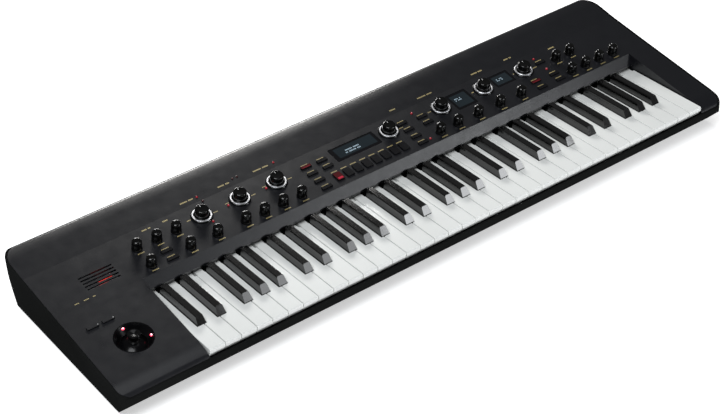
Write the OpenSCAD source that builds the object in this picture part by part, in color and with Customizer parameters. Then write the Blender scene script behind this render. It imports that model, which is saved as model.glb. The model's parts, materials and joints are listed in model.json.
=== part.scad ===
// Synthesizer keyboard with 61 keys, a sloped control panel, a joystick and a valve behind a slotted window.
// Units are millimetres. The origin is on the table, under the middle of the case.
// x runs to the right, y to the back and z up.

/* [Keys] */
// Distance from one white key to the next
key_pitch = 23; // [22:0.25:24]
// Length of a white key in front of the panel
key_len = 133; // [125:1:140]
// Gap between two white keys
key_gap = 1; // [0.7:0.1:1.3]
// Depth of a white key from its top to the edge of its sides
key_h = 14; // [12:0.5:15]
// Height of the lip at the front of a white key
lip_h = 7; // [5.5:0.5:8.5]
// How far the lip stands in front of the key's side walls
lip_out = 2.8; // [2:0.2:4]
// Width of a black key at its base
black_w = 12.3; // [11.5:0.1:13]
// Width of a black key at its top
black_top_w = 9.6; // [8.5:0.1:10.5]
// Height of a black key above the white ones
black_h = 11; // [9:0.5:12]
// Distance from the front of the white keys to the black ones
black_set = 46.6; // [42:0.2:50]
// Diameter of the rod that the keys turn on
rod_d = 6; // [5:0.5:7]

/* [Case] */
// Width of the panel to the left of the keys
left_w = 126; // [120:1:136]
// Width of the panel to the right of the keys
right_w = 43; // [38:1:55]
// Height of the white keys above the table
deck_h = 48; // [46:0.5:54]
// Depth of the control panel behind the keys
panel_d = 141.7; // [138:0.5:152]
// Height of the panel's front edge above the keys
fold_rise = 21.2; // [20:0.2:24]
// Slope of the control panel
panel_slope = 9.76; // [8.8:0.1:10.6]
// Lean of the side walls
side_draft = 8.5; // [5:0.5:10]
// Thickness of the side and back walls
wall = 5; // [4.4:0.1:6]
// Thickness of the floor
floor_t = 3; // [2.4:0.1:4]
// Width of the rim around the sheet
rim_w = 3; // [2.4:0.1:3.4]
// Thickness of the top sheet
sheet_t = 2; // [1.6:0.1:2.4]
// Corner radius at the front of the case
front_r = 18; // [14:1:24]
// Corner radius at the back of the case
rear_r = 35; // [26:1:44]
// Height of the feet
foot_h = 4.5; // [3:0.5:6]
// Diameter of the feet
foot_d = 20; // [14:1:24]

/* [Knobs] */
// Diameter of a small knob
small_d = 14.5; // [12:0.5:16]
// Height of a small knob
small_h = 15; // [11:0.5:16]
// Diameter of the bright ring on a large knob
ring_d = 26.7; // [25:0.1:28]
// Diameter of the grip of a large knob
grip_d = 18; // [15:0.5:20]
// Height of a large knob
big_h = 14; // [11:0.5:16]
// Diameter of a knob's shaft
shaft_d = 6; // [5:0.2:6.4]

/* [Buttons and displays] */
// Width of a small button
button_w = 16; // [13:0.5:18]
// Depth of a small button
button_d = 5.2; // [4:0.2:6]
// Width of a category button
category_w = 11; // [9:0.5:12.5]
// Depth of a category button
category_d = 15; // [12:0.5:16]
// How far a button stands above the sheet
button_rise = 1.6; // [1.3:0.1:2.4]
// Width of the main display
display_w = 75; // [68:1:78]
// Depth of the main display
display_d = 27; // [23:1:29]

/* [Joystick and valve] */
// Diameter of the joystick's dish
dish_d = 50.5; // [49:0.5:54]
// Diameter of the joystick's cap
cap_d = 16; // [12:0.5:18]
// Height of the joystick's cap above the sheet
cap_rise = 7; // [4:0.5:10]
// Diameter of the valve
valve_d = 22; // [18:1:23]
// Width of the valve window's slots
slot_w = 48; // [40:1:52]
// Height of one slot
slot_h = 2.6; // [2:0.1:3]

/* [Sockets] */
// Diameter of an audio socket's hole
jack_d = 6.5; // [6.4:0.1:7]
// Diameter of a round data socket
din_d = 15; // [14:0.5:15.5]

/* [Hidden] */
$fn = 96;
white_n = 36;
keys_w = white_n * key_pitch;
body_w = left_w + keys_w + right_w;
nose = 5.5;
fold_y = key_len + 13.8;
rear_y = fold_y + panel_d;
body_d = nose + rear_y;
kx0 = left_w - body_w / 2;
ky0 = nose - body_d / 2;
x_end = keys_w + right_w;
floor_z = foot_h - deck_h;
deck_z = floor_z + floor_t;
fit = 0.1;

// Side outline of the top: slope of the front part, of the crest and of the nose
front_slope = panel_slope - 0.3;
crest_slope = panel_slope + 2.5;
nose_slope = 26;
r_nose = 12;
r_bend = 75;
r_rear = 10;
r_crest = 120;
function nrm(a) = [-sin(a), cos(a)];
fold_p = [fold_y, fold_rise];
bend_y = 24;
bend_p = [bend_y, fold_rise - (fold_y - bend_y) * tan(front_slope)];
bend_c = bend_p - r_bend * nrm(front_slope);
nose_c = bend_c + (r_bend - r_nose) * nrm(nose_slope);
crest_p = fold_p + 0.552 * panel_d * [1, tan(panel_slope)];
roll_slope = crest_slope - 8.5;
crest_run = (rear_y - r_rear - r_rear * sin(roll_slope) - crest_p[0]
    - r_crest * (sin(crest_slope) - sin(roll_slope))) / cos(crest_slope);
crest_c = crest_p + crest_run * [cos(crest_slope), sin(crest_slope)] - r_crest * nrm(crest_slope);
rear_c = crest_c + (r_crest - r_rear) * nrm(roll_slope);
lip_z = nose_c[1] + 6;

// Scale factors that keep the controls in place when the case changes size
sx = keys_w / 828;
sl = left_w / 126;
sy = panel_d / 141.7;

// Pivot of the keys
pivot_y = key_len + 49;
pivot_z = -8;
rod_fit = 0.05;
black_c = [key_pitch - 2.8, 2 * key_pitch + 3.3, 4 * key_pitch - 3.3, 5 * key_pitch, 6 * key_pitch + 3];
black_gap = 0.8;
half = black_w / 2 + black_gap;
post_gap = 1.6;

// Depth of the boards under the sheet
pot_h = 7;
board_d = sheet_t + fit + pot_h;
board_t = 1.6;

// Knobs: distance along the keys, distance behind the fold
small_at = [[22.5, 48.2], [52, 48.2], [81, 48.2], [22, 14.2], [80.5, 14.2], [121.5, 14.2], [165, 14.2],
    [194, 14.2], [223.5, 14.2], [253, 14.2], [487, 14.2], [518, 14.2], [554.5, 14.2], [594.5, 14.2],
    [633, 14.2], [729, 48.2], [755.5, 48.2], [729, 14.2], [755.5, 14.2], [782, 14.2], [808.5, 14.2]];
big_at = [[123.3, 53.2], [182.3, 53.2], [240.7, 53.2], [519.7, 53.2], [597, 53.2], [672, 53.2],
    [427.8, 53.2]];
small_names = ["volume_knob", "drive_knob", "speed_knob", "tempo_knob", "gate_knob", "effect_knob_1",
    "effect_knob_2", "effect_knob_3", "effect_knob_4", "effect_knob_5", "oscillator_knob_1",
    "oscillator_knob_2", "oscillator_knob_3", "filter_knob_1", "filter_knob_2", "envelope_knob_1",
    "envelope_knob_2", "envelope_knob_3", "envelope_knob_4", "envelope_knob_5", "envelope_knob_6"];
big_names = ["effect_selector_1", "effect_selector_2", "effect_selector_3", "oscillator_selector",
    "filter_selector", "amplifier_selector", "value_dial"];
// Small buttons, category buttons and lamps
button_at = [[51.5, 24.7], [51, 9.7], [290.5, 56.2], [290.5, 41.2], [290.5, 25.2], [290.5, 9.7],
    [316, 55.2], [316, 41.2], [453.5, 56.2], [453.5, 41.2], [453.5, 25.2], [453.5, 10.2], [486, 53.2],
    [486, 39.2], [671, 25.2], [671, 10.7], [705, 54.2], [705, 24.2], [705, 10.7]];
category_x = [316, 332, 347.7, 363.4, 379.1, 394.8, 410.5, 426.2];
lamp_at = [[130, 37.2], [163, 51.2], [222.5, 51.2], [137.5, 86.2], [259.5, 87.2], [478, 66.2],
    [467, 11.2], [702, 65.2], [703, 38.2], [140, 76], [196, 90.2], [203, 90.2]];
// Displays: middle along the keys, middle behind the fold, width, depth
window_at = [[370.5, 53.7, display_w, display_d], [556.3, 52.2, 34.7, 34], [633.8, 56.2, 34.7, 26]];
slot_v = [42.2, 36.6, 31, 25.4, 19.8];
slot_x = -42.5;

// Joystick
stick_x = -61;
stick_y = fold_y - 76.8;
dome_r = 26;
pivot_d = 31;
pin_d = 4;
stick_d = 5;

key_names = ["keys_c", "keys_c_sharp", "keys_d", "keys_d_sharp", "keys_e", "keys_f", "keys_f_sharp",
    "keys_g", "keys_g_sharp", "keys_a", "keys_a_sharp", "keys_b"];

// ---------- placing ----------
module at_keys() { translate([kx0, ky0, deck_h]) children(); }

// Side outline in y and z, run along x
module run_x(x0, x1) { translate([x0, 0, 0]) rotate([90, 0, 90]) linear_extrude(x1 - x0) children(); }

function px(x) = x < 0 ? x * sl : x * sx;
module on_panel(x, v) {
    translate([px(x), fold_y + v * sy, fold_rise + v * sy * tan(panel_slope)])
        rotate([panel_slope, 0, 0]) children();
}
module on_front(x, y) {
    translate([px(x), y, fold_rise - (fold_y - y) * tan(front_slope)]) rotate([front_slope, 0, 0]) children();
}

module rrect(w, d, r) {
    square([w - 2 * r, d], center = true);
    square([w, d - 2 * r], center = true);
    for (x = [-1, 1], y = [-1, 1]) translate([x * (w / 2 - r), y * (d / 2 - r)]) circle(r);
}
// Upright plate from depth d1 to depth d0 under the sheet
module slab(d0, d1) { translate([0, 0, -d1]) linear_extrude(d1 - d0) children(); }
module box(x0, x1, y0, y1, z0, z1) { translate([x0, y0, z0]) cube([x1 - x0, y1 - y0, z1 - z0]); }

// ---------- outlines ----------
// Points of an arc about c, from slope a to slope b
function arc(c, r, a, b, n) = [for (i = [0:n]) c + r * nrm(a + (b - a) * i / n)];
// Everything under the top surface, less a skin of thickness t
module under_top(t) {
    polygon(concat(
        [nose_c + [t - r_nose, -90 - 5 * t]],
        arc(nose_c, r_nose - t, 90, nose_slope, 16),
        arc(bend_c, r_bend - t, nose_slope - 2, front_slope, 8),
        [fold_p - t * nrm(panel_slope - 0.15), crest_p - t * nrm((panel_slope + crest_slope) / 2)],
        arc(crest_c, r_crest - t, crest_slope, roll_slope, 10),
        arc(rear_c, r_rear - t, roll_slope, -90, 22),
        [rear_c + [r_rear - t, -120 - 5 * t]]
    ));
}
module case_side() {
    intersection() {
        union() {
            under_top(0);
            polygon([[-nose, -70], [-nose, lip_z - 0.6], [0.5 - nose, lip_z], [8, lip_z], [8, -70]]);
        }
        polygon([[-nose, 90], [-nose, -17.8], [0.3 - nose, -18.3], [0.97 * (-18 - floor_z) - nose, floor_z],
            [rear_y - 2, floor_z], [rear_y, floor_z + 2], [rear_y, 90]]);
    }
}
module cavity_side(y0) {
    y1 = 0.97 * (-18 - deck_z) - nose + 4.4;
    polygon([[y0, 90], [y0, -18 - (y0 + nose - 4.4) / 0.97], [y1, deck_z], [rear_y - wall, deck_z],
        [rear_y - wall, 90]]);
}
module plan(inset) {
    y0 = front_r - nose;
    y1 = rear_y - rear_r;
    for (s = [0, 1]) {
        translate([s == 0 ? front_r - left_w : x_end - front_r, y0]) circle(front_r - inset);
        translate([s == 0 ? rear_r - left_w : x_end - rear_r, y1]) circle(rear_r - inset);
    }
    polygon([[inset - left_w, y0], [front_r - left_w, inset - nose], [x_end - front_r, inset - nose],
        [x_end - inset, y0], [x_end - inset, y1], [x_end - rear_r, rear_y - inset],
        [rear_r - left_w, rear_y - inset], [inset - left_w, y1]]);
}
// Space outside the leaning side walls
module side_space(inset) {
    for (s = [0, 1])
        translate([s == 0 ? inset - left_w : x_end - inset, fold_y, fold_rise])
            rotate([panel_slope, 0, 0]) mirror([s, 0, 0]) rotate([0, -side_draft, 0])
                translate([-60, -320, -160]) cube([60, 640, 320]);
}

// ---------- case ----------
window_w = 330;
window_h = 24;
window_x = 560 * sx;
window_z = -20;
post_x = key_pitch * [0, 3, 7, 10, 14, 17, 21, 24, 28, 31, 35, 36];
screw_x = [40, 230, 414, 598, 788];
screw_y = [60, 150];
foot_x = [28 - left_w, 0.42 * keys_w, x_end - 28];

module bottom_case() {
    color([0.07, 0.07, 0.075]) {
        difference() {
            intersection() {
                run_x(-left_w, x_end) case_side();
                translate([0, 0, -90]) linear_extrude(200) plan(0);
            }
            side_space(0);
            difference() {
                intersection() {
                    union() {
                        run_x(-left_w, x_end) cavity_side(3);
                        run_x(-1, keys_w + 1) cavity_side(-1);
                    }
                    translate([0, 0, -90]) linear_extrude(200) plan(wall);
                }
                side_space(wall);
            }
            // ledge that the sheet lies on
            intersection() {
                run_x(-left_w, x_end) difference() {
                    polygon([[-nose - 1, 90], [-nose - 1, lip_z], [-1.9, lip_z], [-1.9, lip_z - 1],
                        [rear_y + 1, lip_z - 1], [rear_y + 1, 90]]);
                    under_top(sheet_t + fit);
                }
                translate([0, 0, -90]) linear_extrude(200) plan(rim_w);
            }
            // window for the sockets
            translate([window_x, rear_y, window_z]) cube([window_w, 4 * wall, window_h], center = true);
            for (x = screw_x, y = screw_y) translate([x * sx, y, floor_z - 1]) {
                cylinder(d = 3.2, h = 9);
                cylinder(d = 6.4, h = 2.6);
            }
        }
        // posts under the main board
        for (x = [258, 392], y = [rear_y - 78, rear_y - 28])
            translate([x * sx, y, deck_z - 0.5]) cylinder(d = 8, h = 5.5);
        // ribs across the floor
        for (x = [-left_w + 34, -22, keys_w + 10])
            box(x, x + 2.4, 40, rear_y - wall + 0.5, deck_z - 0.5, deck_z + 5);
    }
}

module fallboard_side() {
    polygon([fold_p, fold_p + [-8.8, -13.6], fold_p + [-6, -19], fold_p + [-4, -19],
        fold_p + [-6.6, -13.4], fold_p + [2, -1]]);
}

module top_panel() {
    color([0.2, 0.2, 0.215]) difference() {
        union() {
            intersection() {
                difference() {
                    run_x(-left_w, x_end) difference() {
                        under_top(0);
                        under_top(sheet_t);
                        translate([-60, lip_z - 200]) square([120, 200.1]);
                        translate([rear_y - 20, rear_c[1] - 200]) square([30, 201]);
                    }
                    box(-1, keys_w + 1, -20, fold_y, -60, 90);
                }
                translate([0, 0, -90]) linear_extrude(200) plan(rim_w + 0.4);
            }
            run_x(-3, keys_w + 3) fallboard_side();
            // walls beside the keys
            for (x = [-3, keys_w + 1]) run_x(x, x + 2) difference() {
                intersection() {
                    under_top(0);
                    translate([-60, -20]) square([62 + fold_y, 90]);
                }
                translate([-60, lip_z - 60.1]) square([120, 60.2 - 0.9]);
                translate([-60, -60]) square([63.4, 60 + lip_z + 0.1]);
            }
        }
        for (p = small_at) on_panel(p[0], p[1]) slab(-2, 8) circle(d = shaft_d + 1.2);
        for (p = big_at) on_panel(p[0], p[1]) slab(-2, 8) circle(d = shaft_d + 1.2);
        for (p = lamp_at) on_panel(p[0], p[1]) slab(-2, 8) circle(d = 3.7);
        for (p = button_at) on_panel(p[0], p[1]) slab(-2, 8) rrect(button_w + 0.7, button_d + 0.7, 1.1);
        for (x = category_x) on_panel(x, 17.7) slab(-2, 8) rrect(category_w + 0.7, category_d + 0.7, 1.3);
        for (p = window_at) on_panel(p[0], p[1]) slab(-2, 8) rrect(p[2], p[3], 1.5);
        for (v = slot_v) on_panel(slot_x, v) slab(-2, 8) rrect(slot_w, slot_h, slot_h / 2 - 0.01);
        for (x = [-93, -71.5]) on_front(x, fold_y - 35.8) slab(-2, 8) rrect(button_w + 0.7, button_d + 0.7, 1.1);
        on_front(stick_x, stick_y) slab(-2, 8) circle(d = dish_d);
    }
}

// ---------- keys ----------
// Left and right edge of the part of a white key between the black ones
function tail_l(i) = i == 0 || i == 3 ? i * key_pitch + key_gap / 2 : black_c[i < 3 ? i - 1 : i - 2] + half;
function tail_r(i) = i == 2 || i == 6 ? (i + 1) * key_pitch - key_gap / 2 : black_c[i < 3 ? i : i - 1] - half;
whites = [0, 2, 4, 5, 7, 9, 11];
blacks = [1, 3, 6, 8, 10];

module key_bore() { translate([-10, pivot_y, pivot_z]) rotate([0, 90, 0]) cylinder(d = rod_d + 2 * rod_fit, h = 200); }

module white_key(i, last) {
    x0 = i * key_pitch + key_gap / 2;
    x1 = (i + 1) * key_pitch - key_gap / 2;
    t0 = tail_l(i);
    t1 = last ? x1 : tail_r(i);
    u0 = t0 + (i == 0 || i == 3 ? post_gap : 0);
    u1 = t1 - (last || i == 2 || i == 6 ? post_gap : 0);
    c = 0.5;
    difference() {
        union() {
            // wide front with eased top edges
            translate([0, black_set - black_gap, 0]) rotate([90, 0, 0]) linear_extrude(black_set - black_gap)
                polygon([[x0, -lip_h], [x0, -c], [x0 + c, 0], [x1 - c, 0], [x1, -c], [x1, -lip_h]]);
            box(x0, x1, lip_out, black_set - black_gap, -key_h, 1 - lip_h);
            // part between the black keys
            translate([0, key_len, 0]) rotate([90, 0, 0]) linear_extrude(key_len - black_set + black_gap + 1)
                polygon([[t0, -key_h], [t0, -c], [t0 + c, 0], [t1 - c, 0], [t1, -c], [t1, -key_h]]);
            // tail
            box(u0, u1, key_len - 1, pivot_y + 7, -key_h, -1.6);
        }
        // eased front edge
        translate([x0 - 1, 0, 0]) rotate([45, 0, 0]) translate([0, -0.9, -0.9]) cube([x1 - x0 + 2, 1.8, 1.8]);
        // bevel under the front, clear of the case's sloping wall when the key is down
        run_x(x0 - 1, x1 + 1) polygon([[lip_out - 1, 3.4 - key_h], [lip_out + 4.4, -key_h - 2],
            [lip_out - 1, -key_h - 2]]);
        // hollow underside
        box(x0 + 1.6, x1 - 1.6, lip_out + 1.6, black_set - black_gap - 1.6, -key_h - 1, -2.6);
        box(t0 + 1.6, t1 - 1.6, black_set + 3, key_len - 4, -key_h - 1, -2.6);
        key_bore();
    }
}

module black_key(i) {
    h = black_h;
    w = black_w / 2;
    t = black_top_w / 2;
    translate([black_c[i], 0, 0]) difference() {
        union() {
            translate([0, key_len - 0.6, 0]) rotate([90, 0, 0]) linear_extrude(key_len - 0.6 - black_set)
                polygon([[-w, -key_h], [-w, 0], [-t - 0.15, h - 1.2], [-t + 0.9, h], [t - 0.9, h],
                    [t + 0.15, h - 1.2], [w, 0], [w, -key_h]]);
            box(0.3 - w, w - 0.3, key_len - 2, pivot_y + 7, -key_h, -1.6);
        }
        // sloped front, with a steeper edge at the top
        translate([-20, black_set, 0.6]) rotate([-32, 0, 0]) translate([0, -30, -6]) cube([40, 30, 40]);
        translate([-20, black_set + 6.2, h]) rotate([-62, 0, 0]) translate([0, -20, -1]) cube([40, 20, 20]);
        box(1.8 - w, w - 1.8, black_set + 5, key_len - 4, -key_h - 1, -1);
        key_bore();
    }
}

module keys(n) {
    w = search(n, whites);
    b = search(n, blacks);
    if (len(w) > 0) {
        color([0.93, 0.94, 0.96]) {
            for (o = [0:4]) translate([7 * o * key_pitch, 0, 0]) white_key(w[0], false);
            if (n == 0) translate([35 * key_pitch, 0, 0]) white_key(0, true);
        }
    } else {
        color([0.05, 0.05, 0.05]) for (o = [0:4]) translate([7 * o * key_pitch, 0, 0]) black_key(b[0]);
    }
}

module keybed_frame() {
    y_f = 0.97 * (-18 - deck_z) - nose + 6;
    color([0.55, 0.56, 0.58]) {
        difference() {
            union() {
                box(-2, keys_w + 2, y_f, pivot_y + 10, deck_z, deck_z + 2);
                // front stop rail
                box(-2, keys_w + 2, y_f, y_f + 3, deck_z, -26);
                box(-2, keys_w + 2, y_f - 9, y_f + 3, -28, -26);
                // rails under the contact board
                for (y = [80, 112]) box(0, keys_w, y, y + 2, deck_z, -31);
                // posts for the rod
                for (x = post_x) box(x - 1, x + 1, pivot_y - 8, pivot_y + 8, deck_z, -2);
                box(-2, keys_w + 2, pivot_y + 8, pivot_y + 10, deck_z, -18);
                for (x = screw_x, y = screw_y) translate([x * sx, y, deck_z]) cylinder(d = 8, h = 6);
            }
            translate([-10, pivot_y, pivot_z]) rotate([0, 90, 0]) cylinder(d = rod_d + 2 * rod_fit, h = keys_w + 20);
            for (x = screw_x, y = screw_y) translate([x * sx, y, deck_z - 1]) cylinder(d = 3.2, h = 6);
        }
        translate([-3, pivot_y, pivot_z]) rotate([0, 90, 0]) cylinder(d = rod_d, h = keys_w + 6);
        // felt strip
        box(-1, keys_w + 1, y_f - 8, y_f + 2, -26, -24.8);
    }
}

module key_contact_board() {
    color([0.1, 0.3, 0.16]) {
        box(0, keys_w, 80, 114, -31, -29.4);
        for (o = [0:4]) translate([7 * o * key_pitch, 97, -29.5]) {
            for (i = [0:6]) translate([(tail_l(i) + tail_r(i)) / 2, 0, 0]) cylinder(d = 9, h = 9);
            for (i = [0:4]) translate([black_c[i], 0, 0]) cylinder(d = 9, h = 9);
        }
        translate([35.5 * key_pitch, 97, -29.5]) cylinder(d = 9, h = 9);
    }
}

module main_board() {
    color([0.1, 0.32, 0.2]) translate([0, rear_y - 86, deck_z + 5]) {
        box(250 * sx, 400 * sx, 0, 66, 0, 1.6);
        box(275 * sx, 303 * sx, 20, 48, 1.5, 4);
        box(320 * sx, 338 * sx, 8, 20, 1.5, 4);
        box(320 * sx, 338 * sx, 30, 42, 1.5, 4);
        box(360 * sx, 390 * sx, 52, 60, 1.5, 10);
        for (y = [12, 26, 40]) translate([372 * sx, y, 1.5]) cylinder(d = 8, h = 11);
    }
}

// ---------- controls ----------
module pot() {
    slab(sheet_t + fit, board_d + 0.5) difference() {
        square(11.4, center = true);
        circle(d = shaft_d + 0.1);
    }
}
module panel_board() {
    color([0.12, 0.34, 0.2]) {
        difference() {
            translate([0, fold_y, fold_rise]) rotate([panel_slope, 0, 0])
                box(8, keys_w - 8, 5 * sy, 94 * sy, -board_d - board_t, -board_d);
            for (x = [105, 275, 470, 690])
                on_panel(x, 80) slab(board_d - 1, board_d + 4) circle(d = 3.4);
        }
        for (p = small_at) on_panel(p[0], p[1]) pot();
        for (p = big_at) on_panel(p[0], p[1]) pot();
        for (p = lamp_at) on_panel(p[0], p[1]) {
            slab(0, board_d + 0.5) circle(d = 3);
            sphere(d = 3);
        }
        for (p = button_at) on_panel(p[0], p[1]) slab(sheet_t + 4.8, board_d + 0.5) square([6, 4], center = true);
        for (x = category_x) on_panel(x, 17.7) slab(sheet_t + 4.8, board_d + 0.5) square(6, center = true);
        // small board under the assign buttons
        on_front(-82.25, fold_y - 35.8) {
            slab(board_d, board_d + board_t) square([52, 14], center = true);
            for (x = [-24, 24]) translate([x, 0, 0]) slab(sheet_t + fit, board_d + 0.5) square([3, 14], center = true);
            for (x = [-10.75, 10.75]) translate([x * sl, 0, 0])
                slab(sheet_t + 4.8, board_d + 0.5) square([6, 4], center = true);
        }
        for (p = window_at) on_panel(p[0], p[1]) slab(sheet_t + 1.9, board_d + 0.5) square([p[2] - 6, p[3] - 5], center = true);
    }
}

module knob_body(profile) {
    rotate_extrude() polygon(profile);
    slab(-1, board_d - 0.2) circle(d = shaft_d);
}
module small_knob(i) {
    r = small_d / 2;
    color([0.04, 0.04, 0.045]) on_panel(small_at[i][0], small_at[i][1]) difference() {
        knob_body([[0, 0.6], [r, 0.6], [r, 1.8], [r - 0.35, 2.4], [r - 0.7, small_h - 1.3],
            [r - 1.6, small_h], [0, small_h]]);
        translate([-0.5, r * 0.25, small_h - 0.5]) cube([1, r, 2]);
    }
}
module big_knob(i) {
    r = ring_d / 2;
    g = grip_d / 2;
    color([0.05, 0.05, 0.055]) on_panel(big_at[i][0], big_at[i][1]) difference() {
        knob_body([[0, 0.6], [r + 1.5, 0.6], [r + 1.5, 1.4], [r, 1.8], [r, 2.8], [r - 0.3, 3.1],
            [g + 0.6, 3.1], [g, 3.6], [g - 0.5, big_h - 0.7], [g - 1.2, big_h], [0, big_h]]);
        translate([-0.6, g * 0.3, big_h - 0.5]) cube([1.2, g, 2]);
    }
}
module button_cap(w, d, r) {
    slab(-button_rise, sheet_t + 3.3) rrect(w, d, r);
    slab(sheet_t + 0.3, sheet_t + 1.5) rrect(w + 2.4, d + 2.4, r);
}
module function_buttons() {
    color([0.16, 0.16, 0.17]) for (p = button_at) on_panel(p[0], p[1]) button_cap(button_w, button_d, 0.8);
}
module category_buttons() {
    color([0.14, 0.14, 0.15]) for (x = category_x) on_panel(x, 17.7) button_cap(category_w, category_d, 1);
}
module assign_buttons() {
    color([0.16, 0.16, 0.17]) for (x = [-93, -71.5]) on_front(x, fold_y - 35.8) button_cap(button_w, button_d, 0.8);
}
module display_windows() {
    color([0.04, 0.05, 0.06]) for (p = window_at) on_panel(p[0], p[1]) {
        slab(0.2, sheet_t + 0.6) rrect(p[2] - 0.5, p[3] - 0.5, 1.3);
        slab(sheet_t + fit, sheet_t + 1.8) rrect(p[2] + 1.6, p[3] + 1.6, 1.3);
    }
}

// ---------- joystick ----------
module joystick_cup() {
    r = dish_d / 2;
    color([0.05, 0.05, 0.055]) on_front(stick_x, stick_y) {
        rotate_extrude() polygon([[r - 0.25, 0.2], [r - 1, 0.2], [r - 1.4, -0.2], [17.1, -9.2], [16.4, -9.6],
            [16.4, -10.2], [17.6, -11], [19.5, -10.5], [r - 0.25, -4.1], [r + 4, -4.1],
            [r + 4, -sheet_t - fit], [r - 0.25, -sheet_t - fit]]);
        difference() {
            for (s = [-1, 1]) translate([s * (r + 5.2), 0, -20]) cube([3.6, 12, 33], center = true);
            translate([-60, 0, -pivot_d]) rotate([0, 90, 0]) cylinder(d = pin_d + 0.1, h = 120);
        }
    }
}
module joystick_gimbal() {
    r = dish_d / 2;
    color([0.5, 0.5, 0.52]) on_front(stick_x, stick_y) translate([0, 0, -pivot_d]) difference() {
        union() {
            rotate_extrude() translate([r - 2, -3.4]) square([4, 6.8]);
            for (s = [-1, 1]) rotate([0, s * 90, 0]) translate([0, 0, r]) cylinder(d = pin_d, h = 6.6);
        }
        rotate([90, 0, 0]) translate([0, 0, -60]) cylinder(d = pin_d + 0.1, h = 120);
    }
}
module joystick_stick() {
    color([0.06, 0.06, 0.065]) on_front(stick_x, stick_y) translate([0, 0, -pivot_d]) {
        // dome that closes the dish
        intersection() {
            difference() {
                sphere(dome_r, $fn = 120);
                sphere(dome_r - 2, $fn = 120);
            }
            rotate_extrude() polygon([[0, 0], [30, 19], [30, 40], [0, 40]]);
        }
        rotate([90, 0, 0]) translate([0, 0, -dish_d / 2 - 1]) cylinder(d = pin_d, h = dish_d + 2);
        sphere(d = 11);
        translate([0, 0, -8]) cylinder(d = stick_d, h = pivot_d + 6);
    }
}
// Cap pushed on the stick, with a collar that sits on the dome
module joystick_cap() {
    r = cap_d / 2;
    color([0.06, 0.06, 0.065]) on_front(stick_x, stick_y) difference() {
        rotate_extrude() polygon([[0, -9], [7, -7], [7, -5.4], [6.2, -4.7], [5, -3.6], [3.4, cap_rise - 5],
            [r - 1.4, cap_rise - 3.4], [r, cap_rise - 2.2], [r, cap_rise - 1], [r - 1, cap_rise],
            [r - 2.4, cap_rise], [0, cap_rise - 1.2]]);
        translate([0, 0, -pivot_d]) sphere(dome_r + rod_fit, $fn = 120);
        translate([0, 0, -pivot_d]) cylinder(d = stick_d + 2 * rod_fit, h = pivot_d - 2);
    }
}

// ---------- valve ----------
valve_dz = sheet_t + 2.2 + valve_d / 2;
module valve() {
    r = valve_d / 2;
    color([0.75, 0.78, 0.8, 0.5]) on_panel(slot_x, 31) translate([-25, 0, -valve_dz]) rotate([0, 90, 0])
        rotate_extrude() polygon([[0, -6], [r - 1.5, -6], [r - 1, -5], [r - 1, 0], [r, 1.5], [r, 40], [r - 1.5, 44],
            [r - 4.5, 46.5], [3, 48], [2, 51], [0, 52]]);
}
module valve_bracket() {
    h = valve_dz + valve_d / 2 + 3;
    color([0.6, 0.61, 0.63]) on_panel(slot_x, 31) {
        slab(h - 1.6, h) square([74, 34], center = true);
        // socket behind the valve
        translate([-37, 0, -(sheet_t + fit + h) / 2]) cube([12, 34, h - sheet_t - fit], center = true);
        translate([36, 0, -(sheet_t + fit + h) / 2]) cube([2, 34, h - sheet_t - fit], center = true);
    }
}

// ---------- sockets and fastenings ----------
jack_x = [-148, -124, -100, -72, -48, -20];
din_x = [10, 34];
switch_x = 138;
plate_y = rear_y - wall - fit;
module rear_sockets() {
    color([0.12, 0.12, 0.125]) translate([window_x, 0, window_z]) difference() {
        union() {
            box(-window_w / 2 - 5, window_w / 2 + 5, plate_y - 2, plate_y, -window_h / 2 - 4, window_h / 2 + 4);
            for (x = jack_x) {
                box(x - 9, x + 9, plate_y - 22, plate_y - 1, -8, 8);
                translate([x, plate_y - 1, 0]) rotate([-90, 0, 0]) cylinder(d = 11, h = 3.6);
            }
            for (x = din_x) box(x - 10, x + 10, plate_y - 14, plate_y - 1, -9.5, 9.5);
            box(58, 72, plate_y - 17, plate_y - 1, -7, 7);
            box(92, 106, plate_y - 14, plate_y - 1, -7, 7);
            box(switch_x - 12, switch_x + 12, plate_y - 14, plate_y - 1, -8.5, 8.5);
        }
        for (x = jack_x) translate([x, plate_y - 20, 0]) rotate([-90, 0, 0]) cylinder(d = jack_d, h = 30);
        for (x = din_x) translate([x, plate_y - 3, 0]) rotate([-90, 0, 0]) {
            cylinder(d = din_d, h = 6);
            for (a = [0:45:180]) rotate([0, 0, a]) translate([4.8, 0, -6]) cylinder(d = 1.8, h = 7);
        }
        // square data socket with its tongue
        difference() {
            box(60.8, 69.2, plate_y - 15, plate_y + 1, -4, 4);
            box(62.2, 67.8, plate_y - 16, plate_y - 7, -1.6, 1.6);
        }
        translate([99, plate_y - 11, 0]) rotate([-90, 0, 0]) difference() {
            cylinder(d = 6.4, h = 20);
            translate([0, 0, -1]) cylinder(d = 2, h = 9);
        }
        box(switch_x - 10.3, switch_x + 10.3, plate_y - 12, plate_y + 1, -6.8, 6.8);
        translate([switch_x - 11.5, plate_y - 4, 0]) rotate([0, 90, 0]) cylinder(d = 2.1, h = 23);
    }
}
module power_switch() {
    color([0.03, 0.03, 0.03]) translate([window_x + switch_x, plate_y - 4, window_z]) rotate([-8, 0, 0]) {
        translate([-9.8, 0, 0]) rotate([90, 0, 90]) linear_extrude(19.6)
            polygon([[-5, -1.2], [-5, 1.2], [-2, 5.4], [3.6, 5.9], [4.9, 5.5], [4.4, 0], [4.9, -5.5], [3.6, -5.9], [-2, -5.4]]);
        translate([-11.3, 0, 0]) rotate([0, 90, 0]) cylinder(d = 2, h = 22.6);
    }
}
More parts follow.
